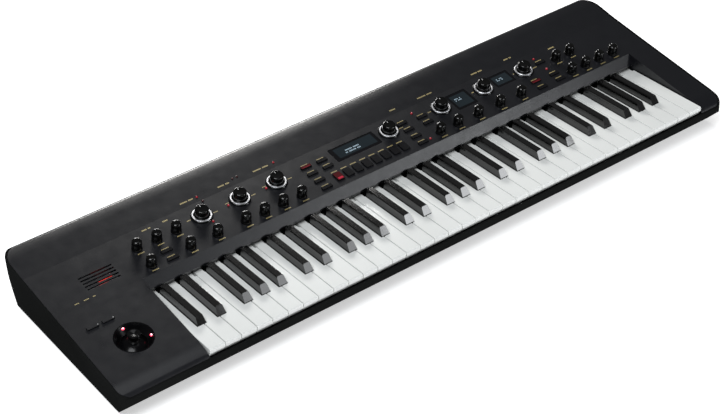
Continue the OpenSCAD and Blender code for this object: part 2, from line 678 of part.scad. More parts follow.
module feet() {
    color([0.06, 0.06, 0.06]) for (x = foot_x, y = [42, rear_y - 26])
        translate([x, y, -deck_h]) {
            cylinder(d1 = foot_d - 1.6, d2 = foot_d, h = 0.8);
            translate([0, 0, 0.8]) cylinder(d = foot_d, h = foot_h - 0.8);
        }
}
module screws() {
    color([0.3, 0.3, 0.32]) for (x = screw_x, y = screw_y) translate([x * sx, y, floor_z]) {
        difference() {
            cylinder(d = 6, h = 1.6);
            translate([0, 0, -1]) for (a = [0, 90]) rotate([0, 0, a]) translate([-1.8, -0.4, 0]) cube([3.6, 0.8, 1.9]);
        }
        translate([0, 0, 1]) cylinder(d = 3, h = 6);
    }
}

at_keys() bottom_case();
at_keys() top_panel();
at_keys() keybed_frame();
at_keys() key_contact_board();
at_keys() main_board();
at_keys() panel_board();
at_keys() display_windows();
at_keys() joystick_cup();
at_keys() joystick_gimbal();
at_keys() joystick_stick();
at_keys() joystick_cap();
at_keys() valve();
at_keys() valve_bracket();
at_keys() rear_sockets();
at_keys() power_switch();
at_keys() category_buttons();
at_keys() function_buttons();
at_keys() assign_buttons();
at_keys() feet();
at_keys() screws();
for (i = [0:11]) at_keys() keys(i);
for (i = [0:20]) at_keys() small_knob(i);
for (i = [0:6]) at_keys() big_knob(i);
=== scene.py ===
"""Synthesizer keyboard: finishes, fine pieces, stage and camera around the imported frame."""
import json
import math

import bpy
from mathutils import Matrix, Vector


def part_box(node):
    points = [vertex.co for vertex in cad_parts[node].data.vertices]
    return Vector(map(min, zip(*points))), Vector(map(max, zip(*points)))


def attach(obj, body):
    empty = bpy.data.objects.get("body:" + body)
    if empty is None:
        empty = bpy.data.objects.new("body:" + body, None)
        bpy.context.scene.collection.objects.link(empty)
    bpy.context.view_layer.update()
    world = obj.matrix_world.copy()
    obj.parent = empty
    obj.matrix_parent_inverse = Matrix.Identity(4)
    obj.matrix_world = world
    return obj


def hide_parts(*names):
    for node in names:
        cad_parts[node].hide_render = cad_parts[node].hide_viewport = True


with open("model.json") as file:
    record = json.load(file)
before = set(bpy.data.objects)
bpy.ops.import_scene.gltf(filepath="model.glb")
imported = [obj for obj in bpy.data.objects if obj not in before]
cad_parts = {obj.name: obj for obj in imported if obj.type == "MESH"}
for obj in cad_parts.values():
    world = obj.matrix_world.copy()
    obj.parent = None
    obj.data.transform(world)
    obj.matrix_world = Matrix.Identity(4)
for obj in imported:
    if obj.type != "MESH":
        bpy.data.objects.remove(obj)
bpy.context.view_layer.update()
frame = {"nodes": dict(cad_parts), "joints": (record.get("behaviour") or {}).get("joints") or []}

bl_info = {
    "name": "Synthesizer keyboard",
    "version": (1, 0, 0),
    "blender": (4, 5, 0),
    "location": "View3D > Sidebar > Synth",
    "description": "Finishes and fine pieces of a synthesizer keyboard",
    "category": "Object",
}

MM = 0.001
JOINTS = {j["child"]: j for j in frame["joints"]}
SMALL_KNOBS = [
    "volume_knob", "drive_knob", "speed_knob", "tempo_knob", "gate_knob",
    *[f"effect_knob_{i}" for i in range(1, 6)],
    *[f"oscillator_knob_{i}" for i in range(1, 4)],
    "filter_knob_1", "filter_knob_2",
    *[f"envelope_knob_{i}" for i in range(1, 7)],
]
LARGE_KNOBS = [
    "effect_selector_1", "effect_selector_2", "effect_selector_3",
    "oscillator_selector", "filter_selector", "amplifier_selector", "value_dial",
]
WHITE_KEYS = ["keys_" + n for n in ("c", "d", "e", "f", "g", "a", "b")]
BLACK_KEYS = ["keys_" + n + "_sharp" for n in ("c", "d", "f", "g", "a")]

SMOOTH_UNDER = math.radians(32)

# ---------- places ----------
# Bare numbers are millimetres: x from the left side of the first key, and v behind the fold, where the
# sloped panel starts.
FOLD = 146.8  # behind the key fronts
TEMPO_KNOB_V = 14.2  # the axle that gives the panel its frame

# knobs
KNOB_LIFT = 0.6 * MM  # gap between a knob and the sheet
SMALL_KNOB_FLAT = 5.5 * MM  # radius of the flat top of a small knob's solid
UPPER_SMALL_KNOBS = {"volume_knob", "drive_knob", "speed_knob", "envelope_knob_1", "envelope_knob_2"}

# assign buttons: their x, and each one's light dot as x from there and v
ASSIGN_BUTTONS_X = (-93, -71.5)
ASSIGN_DOT = (6.8, -36.6)

# category buttons: the first one's x, and the way to the next
CATEGORY_X = 316
CATEGORY_V = 17.7
CATEGORY_PITCH = 15.7
CATEGORY_COUNT = 8

# lit buttons: body, x, v, width and depth of the lens, finish of its bar
SMALL_LENS = (15.2, 4.4)
CATEGORY_LENS = (10.2, 14.2)
LIT_BUTTONS = (
    ("function_buttons", 290.5, 56.2, SMALL_LENS, "dim_bar"),
    ("function_buttons", 671, 25.2, SMALL_LENS, "dim_bar"),
    ("category_buttons", CATEGORY_X, CATEGORY_V, CATEGORY_LENS, "red_bar"),
)

# lamps: x and v, the brightest first
LIT_LAMPS = (
    (478, 66.2), (222.5, 51.2), (163, 51.2), (703, 38.2), (130, 37.2),
    (137.5, 86.2), (259.5, 87.2), (467, 11.2), (702, 65.2),
)
BRIGHT_LAMPS = 4
DARK_LAMPS = ((140, 76), (196, 90.2), (203, 90.2))

# displays: name, x, v, width and depth of the glass, width and depth of the hole with a margin
DISPLAYS = (
    ("main", 371.5, 54.5, (63, 19), (80, 33)),
    ("wave", 556.3, 52.2, (27, 25), (42, 42)),
    ("filter", 633.8, 56.2, (27, 18), (42, 36)),
)
# cells: display, x, v, width and depth of the grid, columns and rows, which cells are lit
CELLS = (
    ("main", 365, 52.5, (25, 9), (13, 2), lambda c, r: (c * 5 + r * 3) % 7 != 3),
    ("wave", 552, 55, (11, 7), (5, 2), lambda c, r: (c + 2 * r) % 4 != 1),
    ("filter", 630, 57, (11, 6), (4, 2), lambda c, r: (c + r) % 3 != 2),
)

# printed marks
SMALL_KNOB_MARK = (10, 1.5)  # width and depth
UPPER_MARK_V = 38.4
LOWER_MARK_V = 4.3
LARGE_KNOB_MARKS = ((-19, 55, 6, 1.3), (19, 50, 7, 1.3))  # x from the axle, v, width, depth
UPPER_TITLES = (86.2, ((121.5, 20), (179, 18), (238, 24), (460, 10), (517, 26), (612, 20), (670, 14)))
LOWER_TITLES = (71.2, ((50.5, 13), (79, 8), (741, 11)))
TITLE_DEPTH = 2.2
CATEGORY_MARK = (28.4, 10, 1.6)  # v, width, depth
BUTTON_MARK = (11, 1.4)  # width and depth
# each column of small buttons: x, and the v of its marks
BUTTON_COLUMNS = (
    (51.5, (29,)),
    (51, (14.1,)),
    (290.5, (60.7, 45.7, 29.7, 14.2)),
    (316, (59.7, 45.7)),
    (453.5, (60.7, 45.7, 29.7, 14.7)),
    (486, (57.7, 43.7)),
    (671, (29.7, 15.2)),
    (705, (58.7, 28.7, 15.2)),
)
DECK_MARKS = (7.3, 1.3, ((-89, 6.5), (-75.5, 7.5), (-64.5, 3.6)))  # v, depth, and each one's x and width
BLOCK_STEP = 1.9  # a mark is a row of short blocks
BLOCK_FILL = 0.72  # share of a step that its block takes
LONG_ROW = 6  # a row of more blocks has one left out past its middle

# joystick dish
DISH_LAMP_RADIUS = 2.4 * MM
DISH_LAMP_ANGLES = (96, -16)  # degrees, from the right
DISH_LAMP_RING = 22 * MM  # from the stick's axis
DISH_LAMP_DEPTH = 3.2 * MM  # below the sheet
SHEET_OVER_PIVOT = 31 * MM  # how far the sheet is above the stick's pivot

# ---------- lights ----------
COOL_WHITE = (0.95, 0.975, 1.0)
WARM_WHITE = (1.0, 0.985, 0.96)
WORLD_STRENGTH = 0.11
# name, place, aim and size in metres, watts, colour
SOFT_LIGHTS = (
    ("top_light", (0.02, 0.0, 2.2), (0, 0, 0), (1.0, 1.2), 5, COOL_WHITE),
    ("left_light", (-1.6, -1.0, 2.6), (0, 0, 0), (1.7, 1.3), 68, COOL_WHITE),
    ("front_light", (1.05, -1.5, 0.62), (0.2, -0.09, 0.05), (0.46, 0.42), 4.4, COOL_WHITE),
    ("low_front_light", (0.58, -1.5, 0.6), (-0.24, -0.09, 0.05), (0.42, 0.34), 1.4, COOL_WHITE),
    ("right_front_light", (1.36, -1.5, 0.8), (0.4, 0.0, 0.06), (0.3, 0.1), 1.3, COOL_WHITE),
    ("rear_light", (0.42, 1.2, 0.72), (-0.2, 0.13, 0.09), (0.7, 0.28), 15, WARM_WHITE),
)


# ---------- sizes and colours that a user would change ----------
class SynthSizes(bpy.types.PropertyGroup):
    """Sizes of the fine pieces."""

    small_top: bpy.props.FloatProperty(
        name="Small knob top", description="Radius of a small knob's top", default=5.9 * MM, unit="LENGTH"
    )
    ring_width: bpy.props.FloatProperty(
        name="Ring width", description="Width of the bright ring", default=2.3 * MM, unit="LENGTH"
    )
    grip_radius: bpy.props.FloatProperty(
        name="Grip radius", description="Radius of a large knob's grip", default=9.4 * MM, unit="LENGTH"
    )
    print_lift: bpy.props.FloatProperty(
        name="Print lift", description="How far printed marks stand off the sheet", default=0.05 * MM,
        unit="LENGTH",
    )
    lamp_radius: bpy.props.FloatProperty(
        name="Lamp radius", description="Radius of a lamp's lens", default=1.62 * MM, unit="LENGTH"
    )


class SynthColours(bpy.types.PropertyGroup):
    """Colours of the finishes."""

    sheet: bpy.props.FloatVectorProperty(
        name="Sheet", description="Colour of the top sheet", subtype="COLOR", size=3,
        default=(0.0068, 0.0072, 0.0092), min=0, max=1,
    )
    case: bpy.props.FloatVectorProperty(
        name="Case", description="Colour of the case and rim", subtype="COLOR", size=3,
        default=(0.009, 0.0094, 0.0092), min=0, max=1,
    )
    ivory: bpy.props.FloatVectorProperty(
        name="White keys", description="Colour of the white keys", subtype="COLOR", size=3,
        default=(0.785, 0.797, 0.78), min=0, max=1,
    )
    ebony: bpy.props.FloatVectorProperty(
        name="Black keys", description="Colour of the black keys", subtype="COLOR", size=3,
        default=(0.002, 0.002, 0.002), min=0, max=1,
    )
    gold: bpy.props.FloatVectorProperty(
        name="Print", description="Colour of the printed marks", subtype="COLOR", size=3,
        default=(0.42, 0.34, 0.15), min=0, max=1,
    )
    lamp: bpy.props.FloatVectorProperty(
        name="Lamps", description="Colour of a lit lamp", subtype="COLOR", size=3,
        default=(1.0, 0.03, 0.06), min=0, max=1,
    )


class StageSettings(bpy.types.PropertyGroup):
    """Camera and light."""

    azimuth: bpy.props.FloatProperty(
        name="Azimuth", description="Camera direction round the case", default=math.radians(-35.532),
        subtype="ANGLE",
    )
    elevation: bpy.props.FloatProperty(
        name="Elevation", description="Camera height above the horizon", default=math.radians(35.026),
        subtype="ANGLE",
    )
    roll: bpy.props.FloatProperty(
        name="Roll", description="Turn of the camera about its own line of sight",
        default=math.radians(-3.0), subtype="ANGLE",
    )
    distance: bpy.props.FloatProperty(
        name="Distance", description="Camera distance from its target", default=2.37432, unit="LENGTH"
    )
    target: bpy.props.FloatVectorProperty(
        name="Target", description="Point the camera looks at", default=(-0.0576, -0.0232, 0.048),
        subtype="XYZ", size=3,
    )
    lens: bpy.props.FloatProperty(
        name="Lens", description="Focal length on a 36 mm wide sensor", default=90.34, unit="CAMERA"
    )
    light: bpy.props.FloatProperty(
        name="Light", description="Strength of the soft lights", default=1.0, min=0
    )


# ---------- finishes ----------
def finish_nodes(name):
    """A new material with its shader and its pattern coordinates."""
    mat = bpy.data.materials.new(name)
    mat.use_nodes = True
    tree = mat.node_tree
    shader = tree.nodes["Principled BSDF"]
    coords = tree.nodes.new("ShaderNodeTexCoord")
    return mat, tree, shader, coords


def noise(tree, coords, scale, detail, stretch=None):
    """Noise on the piece, stretched along an axis where asked."""
    node = tree.nodes.new("ShaderNodeTexNoise")
    node.inputs["Scale"].default_value = scale
    node.inputs["Detail"].default_value = detail
    source = coords.outputs["Object"]
    if stretch:
        mapping = tree.nodes.new("ShaderNodeMapping")
        mapping.inputs["Scale"].default_value = stretch
        tree.links.new(source, mapping.inputs["Vector"])
        source = mapping.outputs["Vector"]
    tree.links.new(source, node.inputs["Vector"])
    return node


def ramp(tree, source, low, high, start=0.35, end=0.65):
    """A colour that goes from low to high with the pattern."""
    node = tree.nodes.new("ShaderNodeValToRGB")
    node.color_ramp.elements[0].position = start
    node.color_ramp.elements[1].position = end
    node.color_ramp.elements[0].color = (*low, 1)
    node.color_ramp.elements[1].color = (*high, 1)
    tree.links.new(source, node.inputs["Fac"])
    return node


def spread(tree, source, low, high):
    """A number between low and high that follows the pattern."""
    node = tree.nodes.new("ShaderNodeMapRange")
    node.inputs["To Min"].default_value = low
    node.inputs["To Max"].default_value = high
    tree.links.new(source, node.inputs["Value"])
    return node


def rgb(colour):
    """The three parts of a colour that is given as such, or by its name in the colour settings."""
    if isinstance(colour, str):
        return tuple(getattr(bpy.context.scene.synth_colours, colour))
    return colour


def moulded(name, colour, rough, grain, bump, vary, metallic=0.0, coat=0.0, stretch=None, shine=0.5):
    """Plastic, paint or metal: a slight colour drift, uneven gloss and a fine grain."""
    mat, tree, shader, coords = finish_nodes(name)
    drift = noise(tree, coords, scale=9.0, detail=3.0)
    low = [c * (1 - vary) for c in rgb(colour)]
    high = [min(1.0, c * (1 + vary)) for c in rgb(colour)]
    tint = ramp(tree, drift.outputs["Fac"], low, high)
    tree.links.new(tint.outputs["Color"], shader.inputs["Base Color"])
    smear = noise(tree, coords, scale=60.0, detail=5.0, stretch=stretch)
    gloss = spread(tree, smear.outputs["Fac"], rough * 0.82, rough * 1.18)
    tree.links.new(gloss.outputs["Result"], shader.inputs["Roughness"])
    grains = noise(tree, coords, scale=grain, detail=2.0, stretch=stretch)
    bumps = tree.nodes.new("ShaderNodeBump")
    bumps.inputs["Strength"].default_value = bump
    bumps.inputs["Distance"].default_value = 0.2 * MM
    tree.links.new(grains.outputs["Fac"], bumps.inputs["Height"])
    tree.links.new(bumps.outputs["Normal"], shader.inputs["Normal"])
    shader.inputs["Metallic"].default_value = metallic
    shader.inputs["Coat Weight"].default_value = coat
    shader.inputs["Coat Roughness"].default_value = 0.12
    shader.inputs["Specular IOR Level"].default_value = shine
    return mat


def glowing(name, colour, strength, base=(0.2, 0.01, 0.01)):
    """A lit lens with a slightly uneven glow."""
    mat, tree, shader, coords = finish_nodes(name)
    cloud = noise(tree, coords, scale=400.0, detail=1.0)
    low = [c * 0.75 for c in rgb(colour)]
    glow = ramp(tree, cloud.outputs["Fac"], low, rgb(colour))
    tree.links.new(glow.outputs["Color"], shader.inputs["Emission Color"])
    shader.inputs["Emission Strength"].default_value = strength
    shader.inputs["Base Color"].default_value = (*base, 1)
    shader.inputs["Roughness"].default_value = 0.2
    return mat


def clear_glass(name, tint, alpha):
    """Thin clear glass with faint smears."""
    mat, tree, shader, coords = finish_nodes(name)
    smear = noise(tree, coords, scale=120.0, detail=4.0)
    gloss = spread(tree, smear.outputs["Fac"], 0.02, 0.09)
    tree.links.new(gloss.outputs["Result"], shader.inputs["Roughness"])
    shader.inputs["Base Color"].default_value = (*tint, 1)
    shader.inputs["Alpha"].default_value = alpha
    return mat


RECIPES = {
    "sheet_paint": (moulded, dict(
        colour="sheet", rough=0.3, grain=1800.0, bump=0.08, vary=0.06, shine=0.45)),
    "case_grain": (moulded, dict(colour="case", rough=0.5, grain=900.0, bump=0.2, vary=0.1, shine=0.0)),
    "white_key_gloss": (moulded, dict(
        colour="ivory", rough=0.16, grain=300.0, bump=0.02, vary=0.03, coat=0.4)),
    "black_key_satin": (moulded, dict(
        colour="ebony", rough=0.09, grain=1500.0, bump=0.02, vary=0.15, shine=0.9)),
    "knob_gloss": (moulded, dict(
        colour=(0.0012, 0.0012, 0.0012), rough=0.1, grain=1200.0, bump=0.01, vary=0.15, shine=0.42)),
    "ring_metal": (moulded, dict(
        colour=(0.86, 0.87, 0.9), rough=0.42, grain=1500.0, bump=0.06, vary=0.05, metallic=1.0,
        stretch=(1.0, 1.0, 6.0))),
    "pointer_white": (moulded, dict(
        colour=(0.75, 0.75, 0.74), rough=0.4, grain=900.0, bump=0.05, vary=0.04)),
    "button_rubber": (moulded, dict(
        colour=(0.005, 0.005, 0.006), rough=0.24, grain=1400.0, bump=0.05, vary=0.1, shine=0.3)),
    "print_gold": (moulded, dict(colour="gold", rough=0.5, grain=1600.0, bump=0.1, vary=0.2)),
    "display_black": (moulded, dict(
        colour=(0.003, 0.003, 0.004), rough=0.16, grain=500.0, bump=0.01, vary=0.1, shine=0.3)),
    "display_glass": (moulded, dict(
        colour=(0.010, 0.016, 0.020), rough=0.1, grain=500.0, bump=0.01, vary=0.1, shine=0.6)),
    "dish_black": (moulded, dict(
        colour=(0.002, 0.002, 0.0024), rough=0.2, grain=900.0, bump=0.03, vary=0.15, shine=0.16)),
    "cap_rubber": (moulded, dict(
        colour=(0.002, 0.002, 0.0022), rough=0.16, grain=1300.0, bump=0.03, vary=0.12, shine=0.3)),
    "chassis_metal": (moulded, dict(
        colour=(0.52, 0.53, 0.55), rough=0.38, grain=700.0, bump=0.1, vary=0.05, metallic=1.0)),
    "board_green": (moulded, dict(
        colour=(0.015, 0.09, 0.04), rough=0.4, grain=500.0, bump=0.2, vary=0.25)),
    "socket_black": (moulded, dict(
        colour=(0.02, 0.02, 0.021), rough=0.45, grain=900.0, bump=0.15, vary=0.12)),
    "foot_rubber": (moulded, dict(
        colour=(0.018, 0.018, 0.018), rough=0.7, grain=1200.0, bump=0.4, vary=0.15)),
    "screw_steel": (moulded, dict(
        colour=(0.28, 0.28, 0.3), rough=0.35, grain=1500.0, bump=0.1, vary=0.08, metallic=1.0)),
    "dark_lamp": (moulded, dict(
        colour=(0.05, 0.012, 0.012), rough=0.25, grain=300.0, bump=0.03, vary=0.1)),
    "floor_white": (moulded, dict(
        colour=(0.98, 0.98, 0.98), rough=0.6, grain=30.0, bump=0.02, vary=0.01)),
    "red_lamp": (glowing, dict(colour="lamp", strength=0.24, base=(0.06, 0.003, 0.005))),
    "lamp_core": (glowing, dict(colour=(1.0, 0.34, 0.42), strength=0.75)),
    "dish_lamp": (glowing, dict(colour=(1.0, 0.06, 0.13), strength=2.6)),
    "dish_core": (glowing, dict(colour=(1.0, 0.62, 0.7), strength=3.2)),
    "red_button": (glowing, dict(colour="lamp", strength=0.035, base=(0.03, 0.0015, 0.002))),
    "red_bar": (glowing, dict(colour=(1.0, 0.05, 0.12), strength=0.4, base=(0.1, 0.004, 0.006))),
    "dim_bar": (glowing, dict(colour=(1.0, 0.05, 0.09), strength=0.1, base=(0.08, 0.004, 0.006))),
    "warm_glow": (glowing, dict(colour=(1.0, 0.05, 0.03), strength=1.2)),
    "pale_glyphs": (glowing, dict(colour=(0.66, 0.86, 1.0), strength=0.5, base=(0.1, 0.13, 0.15))),
    "valve_glass": (clear_glass, dict(tint=(0.9, 0.95, 1.0), alpha=0.22)),
}
FINISHES = {}


def finish(name):
    """The finish called name, made on first use."""
    if name not in FINISHES:
        maker, recipe = RECIPES[name]
        FINISHES[name] = maker(name, **recipe)
    return FINISHES[name]


def dress(node, name):
    """Gives a CAD node its finish."""
    for slot in frame["nodes"][node].material_slots:
        slot.material = finish(name)


# ---------- modelling ----------
def clear_selection():
    """Leaves edit mode with nothing selected."""
    if bpy.context.mode != "OBJECT":
        bpy.ops.object.mode_set(mode="OBJECT")
    bpy.ops.object.select_all(action="DESELECT")


def select_faces(test):
    """Selects the faces of the active mesh that pass the test, and stays in edit mode."""
    mesh = bpy.context.object.data
    bpy.ops.object.mode_set(mode="OBJECT")
    for face in mesh.polygons:
        face.select = test(face)
    for edge in mesh.edges:
        edge.select = False
    for vert in mesh.vertices:
        vert.select = False
    for face in mesh.polygons:
        if face.select:
            for v in face.vertices:
                mesh.vertices[v].select = True
    bpy.ops.object.mode_set(mode="EDIT")
    bpy.ops.mesh.select_mode(type="FACE")


def is_side(face, low, high):
    """Whether a turned piece's face is on its side, between two heights."""
    return abs(face.normal.z) < 0.3 and low < face.center.z < high


def is_ahead(face):
    """Whether a turned piece's face is within 60 degrees of the pointer's direction, its own y."""
    return face.center.y > 0.5 * math.hypot(face.center.x, face.center.y)


def place(piece, name, body, finish_name, matrix=None):
    """Names the piece, puts its place in its mesh, and lets it ride on its body."""
    clear_selection()
    if matrix is not None:
        piece.data.transform(matrix)
    piece.select_set(True)
    bpy.context.view_layer.objects.active = piece
    bpy.ops.object.transform_apply(location=True, rotation=True, scale=True)
    piece.name = name
    piece.data.name = name
    piece.data.materials.clear()
    piece.data.materials.append(finish(finish_name))
    bpy.ops.object.shade_smooth_by_angle(angle=SMOOTH_UNDER)
    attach(piece, body)
    piece.select_set(False)
    return piece


def copy_of(pattern):
    """A copy with its own mesh."""
    piece = pattern.copy()
    piece.data = pattern.data.copy()
    bpy.context.scene.collection.objects.link(piece)
    return piece


def drop(piece):
    """Removes a pattern once its copies are made."""
    bpy.data.objects.remove(piece, do_unlink=True)


def shifted(piece, x, y, z):
    """Moves a piece inside its mesh."""
    piece.data.transform(Matrix.Translation((x, y, z)))
    return piece


def joined(pieces):
    """Several meshes made one."""
    clear_selection()
    for piece in pieces:
        piece.select_set(True)
    bpy.context.view_layer.objects.active = pieces[0]
    bpy.ops.object.join()
    return pieces[0]


def plate(width, depth, thickness, corner, underside=0.0):
    """A plate with rounded corners, drawn up from a plane."""
    clear_selection()
    bpy.ops.mesh.primitive_plane_add(size=1, location=(0, 0, 0))
    piece = bpy.context.object
    piece.scale = (width, depth, 1)
    bpy.ops.object.transform_apply(location=False, rotation=False, scale=True)
    bpy.ops.object.mode_set(mode="EDIT")
    bpy.ops.mesh.select_all(action="SELECT")
    bpy.ops.mesh.bevel(offset=corner, segments=3, affect="VERTICES", clamp_overlap=True)
    bpy.ops.mesh.select_all(action="SELECT")
    bpy.ops.mesh.extrude_region_move(TRANSFORM_OT_translate={"value": (0, 0, thickness)})
    bpy.ops.mesh.select_all(action="SELECT")
    bpy.ops.mesh.normals_make_consistent(inside=False)
    bpy.ops.object.mode_set(mode="OBJECT")
    return shifted(piece, 0, 0, underside)


def turned(radius, depth, steps, sides=64):
    """A turned piece: a cylinder whose top is drawn up, or set in, in steps of (radius, height)."""
    clear_selection()
    bpy.ops.mesh.primitive_cylinder_add(
        vertices=sides, radius=radius, depth=depth, location=(0, 0, depth / 2)
    )
    piece = bpy.context.object
    bpy.ops.object.transform_apply(location=True, rotation=True, scale=True)
    z = depth
    r = radius
    for next_r, next_z in steps:
        select_faces(lambda f: f.normal.z > 0.9 and abs(f.center.z - z) < 1e-6 and len(f.vertices) > 8)
        if abs(next_z - z) > 1e-7:
            bpy.ops.mesh.extrude_region_move(TRANSFORM_OT_translate={"value": (0, 0, next_z - z)})
            bpy.ops.transform.resize(value=(next_r / r, next_r / r, 1), center_override=(0, 0, next_z))
        else:
            bpy.ops.mesh.inset(thickness=r - next_r, depth=0)
        bpy.ops.object.mode_set(mode="OBJECT")
        z = next_z
        r = next_r
    return piece


def hoop(start, outline, sides=96):
    """A closed hoop: a circle drawn through an outline of (radius, height) that ends where it starts."""
    clear_selection()
    last_r, last_z = start
    bpy.ops.mesh.primitive_circle_add(vertices=sides, radius=last_r, location=(0, 0, last_z))
    piece = bpy.context.object
    bpy.ops.object.transform_apply(location=True, rotation=True, scale=True)
    bpy.ops.object.mode_set(mode="EDIT")
    bpy.ops.mesh.select_mode(type="EDGE")
    bpy.ops.mesh.select_all(action="SELECT")
    for next_r, next_z in outline:
        bpy.ops.mesh.extrude_region_move(TRANSFORM_OT_translate={"value": (0, 0, next_z - last_z)})
        bpy.ops.transform.resize(value=(next_r / last_r, next_r / last_r, 1), center_override=(0, 0, 0))
        last_r = next_r
        last_z = next_z
    bpy.ops.mesh.select_all(action="SELECT")
    bpy.ops.mesh.remove_doubles(threshold=0.01 * MM)
    bpy.ops.mesh.select_all(action="SELECT")
    bpy.ops.mesh.normals_make_consistent(inside=False)
    bpy.ops.object.mode_set(mode="OBJECT")
    return piece


# ---------- places on the instrument ----------
def frame_at(x_axis, y_axis, z_axis, origin):
    """A place given by its three axes and its origin."""
    place_at = Matrix((x_axis, y_axis, z_axis)).transposed().to_4x4()
    place_at.translation = origin
    return place_at


def joint_frame(node):
    """Where a knob's axle leaves the sheet: its own z along the axle and y up the panel."""
    joint = JOINTS[node]
    up = Vector(joint["axis"]).normalized()
    along = Vector((1, 0, 0))
    return frame_at(along, up.cross(along), up, Vector(joint["pos_m"]))


def knob_height(node, top_radius):
    """How far a knob stands above the sheet, along its axle."""
    joint = JOINTS[node]
    up = Vector(joint["axis"]).normalized()
    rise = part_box(node)[1].z - joint["pos_m"][2]
    return (rise - top_radius * abs(up.y)) / up.z


PANEL = joint_frame("tempo_knob")
KEY_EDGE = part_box("keys_c")[0].x - 0.5 * MM
KEY_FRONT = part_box("keys_c")[0].y


def panel_place(x, v, lift=0.0):
    """A place on the sloped panel, or off it by lift."""
    up = PANEL.to_3x3() @ Vector((0, 0, 1))
    start = PANEL.translation
    y = start.y + (v - TEMPO_KNOB_V) * MM
    z = start.z + (y - start.y) * (-up.y / up.z)
    place_at = PANEL.to_3x3().to_4x4()
    place_at.translation = Vector((KEY_EDGE + x * MM, y, z)) + up * lift
    return place_at


def surface_place(node, x, v):
    """A place on top of a CAD node, whatever its slope there."""
    piece = frame["nodes"][node]
    start = Vector((KEY_EDGE + x * MM, KEY_FRONT + (FOLD + v) * MM, 0.3))
    hit, point, normal, _ = piece.ray_cast(start, Vector((0, 0, -1)))
    if not hit:
        raise RuntimeError(f"{node}: nothing under {x}, {v}")
    across = normal.cross(Vector((1, 0, 0))).normalized()
    return frame_at(across.cross(normal), across, normal, point)


# ---------- operators ----------
class SynthCase(bpy.types.Operator):
    """Paints the sheet, the case and what is under them"""

    bl_idname = "synth.case"
    bl_label = "Case and chassis"

    def execute(self, context):
        dress("top_panel", "sheet_paint")
        dress("bottom_case", "case_grain")
        for node in ("keybed_frame", "valve_bracket", "joystick_gimbal"):
            dress(node, "chassis_metal")
        for node in ("key_contact_board", "main_board", "panel_board"):
            dress(node, "board_green")
        dress("feet", "foot_rubber")
        dress("screws", "screw_steel")
        dress("rear_sockets", "socket_black")
        dress("power_switch", "dish_black")
        return {"FINISHED"}


class SynthKeys(bpy.types.Operator):
    """Gives the keys their gloss"""

    bl_idname = "synth.keys"
    bl_label = "Keys"

    def execute(self, context):
        for node in WHITE_KEYS:
            dress(node, "white_key_gloss")
        for node in BLACK_KEYS:
            dress(node, "black_key_satin")
        return {"FINISHED"}


class SynthSmallKnobs(bpy.types.Operator):
    """Turns the small knobs, with a banded grip, a chamfered top and a pointer"""

    bl_idname = "synth.small_knobs"
    bl_label = "Small knobs"

    def execute(self, context):
        top = context.scene.synth_sizes.small_top
        height = knob_height("tempo_knob", SMALL_KNOB_FLAT) - KNOB_LIFT
        band_foot = 1.4 * MM
        band_head = 0.5 * height
        grip = turned(7.2 * MM, 0.9 * MM, [
            (7.05 * MM, 1.3 * MM),
            (6.95 * MM, band_foot),
            (6.8 * MM, band_head),
            (6.6 * MM, height - 2.6 * MM),
            (6.35 * MM, height - 1.7 * MM),
            (top - 0.9 * MM, height - 0.32 * MM),
            (top - 1.7 * MM, height - 0.08 * MM),
            (3.2 * MM, height),
        ])
        # a shallow band round the lower half
        select_faces(lambda f: is_side(f, band_foot, band_head))
        bpy.ops.mesh.inset(thickness=0.5 * MM, depth=-0.12 * MM, use_even_offset=True)
        bpy.ops.object.mode_set(mode="OBJECT")
        mark = shifted(plate(1.0 * MM, 2.0 * MM, 0.1 * MM, 0.3 * MM, height - 0.1 * MM), 0, 3.6 * MM, 0)
        for node in SMALL_KNOBS:
            place_at = joint_frame(node) @ Matrix.Translation((0, 0, KNOB_LIFT))
            cap = place(copy_of(grip), node + "_cap", node, "knob_gloss", place_at)
            place(copy_of(mark), node + "_pointer", node, "pointer_white", place_at)
            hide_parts(node)
        drop(grip)
        drop(mark)
        return {"FINISHED"}


